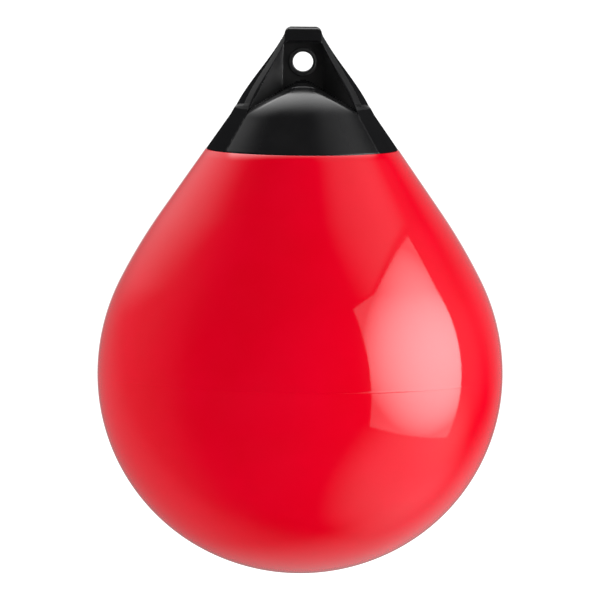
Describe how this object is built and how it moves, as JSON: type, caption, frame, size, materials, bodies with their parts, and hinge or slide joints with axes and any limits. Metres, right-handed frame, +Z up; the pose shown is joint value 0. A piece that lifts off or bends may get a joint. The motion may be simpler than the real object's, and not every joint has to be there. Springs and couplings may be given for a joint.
{
  "type": "inflatable buoy",
  "caption": "Drop-shaped inflatable buoy: a hollow soft bladder under a solid moulded head with a rope eye between two fins, and an air valve in the skirt.",
  "frame": {"origin": "centre of the rope eye's bore", "axes": "+Z up the buoy's own axis, from the bladder towards the rope head; Y along the eye's bore, the front at -Y; X from fin to fin"},
  "size_m": [0.5116, 0.5114, 0.6888],
  "materials": {
    "bladder_vinyl": "glossy soft vinyl, signal red",
    "head_vinyl": "glossy moulded vinyl, black",
    "valve_plastic": "satin moulded plastic, black",
    "washer_rubber": "matt rubber, dark grey"
  },
  "bodies": {
    "root": {"bladder": "bladder_vinyl", "rope_head": "head_vinyl", "valve_body": "valve_plastic", "valve_washer": "washer_rubber", "valve_plug": "valve_plastic"}
  },
  "joints": []
}
